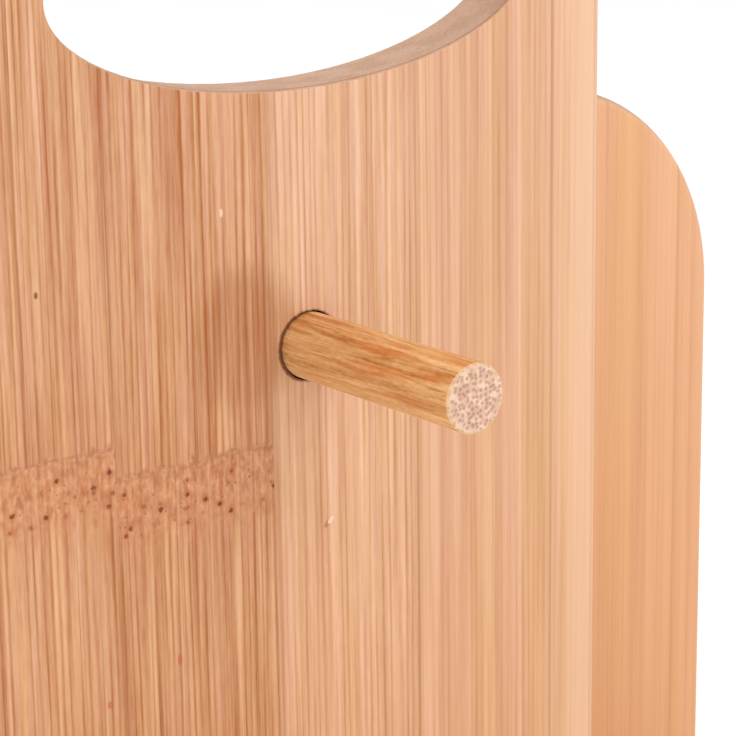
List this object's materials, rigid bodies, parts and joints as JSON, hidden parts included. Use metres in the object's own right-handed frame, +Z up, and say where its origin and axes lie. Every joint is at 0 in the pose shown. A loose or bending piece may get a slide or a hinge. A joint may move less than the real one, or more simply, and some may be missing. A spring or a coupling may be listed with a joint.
{
  "type": "paper towel holder",
  "caption": "Free-standing bamboo paper towel holder: end panels and handle boards with oval hand holes, side rails, and a loose round rod that draws out lengthwise.",
  "frame": {"origin": "on the surface that the feet stand on, under the middle of the holder", "axes": "+Z up, +Y along the rod from the front end to the rear end, +X across the holder to the right as seen from the front"},
  "size_m": [0.1914, 0.406, 0.207],
  "materials": {
    "board_bamboo": "laminated bamboo, vertical strips, sanded and thinly lacquered",
    "rod_bamboo": "turned solid bamboo, fibres along the rod, sawn ends",
    "dowel_wood": "plain wooden dowel pins",
    "screw_steel": "zinc plated countersunk wood screws",
    "foot_rubber": "matte dark rubber"
  },
  "bodies": {
    "holder": {"base_board": "board_bamboo", "front_end_panel": "board_bamboo", "front_handle_board": "board_bamboo", "front_rail_dowels": "dowel_wood", "front_panel_screws": "screw_steel", "front_handle_foot_screws": "screw_steel", "front_handle_screws": "screw_steel", "rear_end_panel": "board_bamboo", "rear_handle_board": "board_bamboo", "rear_rail_dowels": "dowel_wood", "rear_panel_screws": "screw_steel", "rear_handle_foot_screws": "screw_steel", "rear_handle_screws": "screw_steel", "left_side_rail": "board_bamboo", "right_side_rail": "board_bamboo", "left_rail_screws": "screw_steel", "right_rail_screws": "screw_steel", "front_left_foot": "foot_rubber", "front_right_foot": "foot_rubber", "rear_left_foot": "foot_rubber", "rear_right_foot": "foot_rubber", "foot_screws": "screw_steel"},
    "rod": {"roll_rod": "rod_bamboo"}
  },
  "joints": [
    {"name": "rod_slide", "type": "slide", "parent": "holder", "child": "rod", "axis": [0, -1, 0], "range_m": [-0.37, 0.37]}
  ]
}
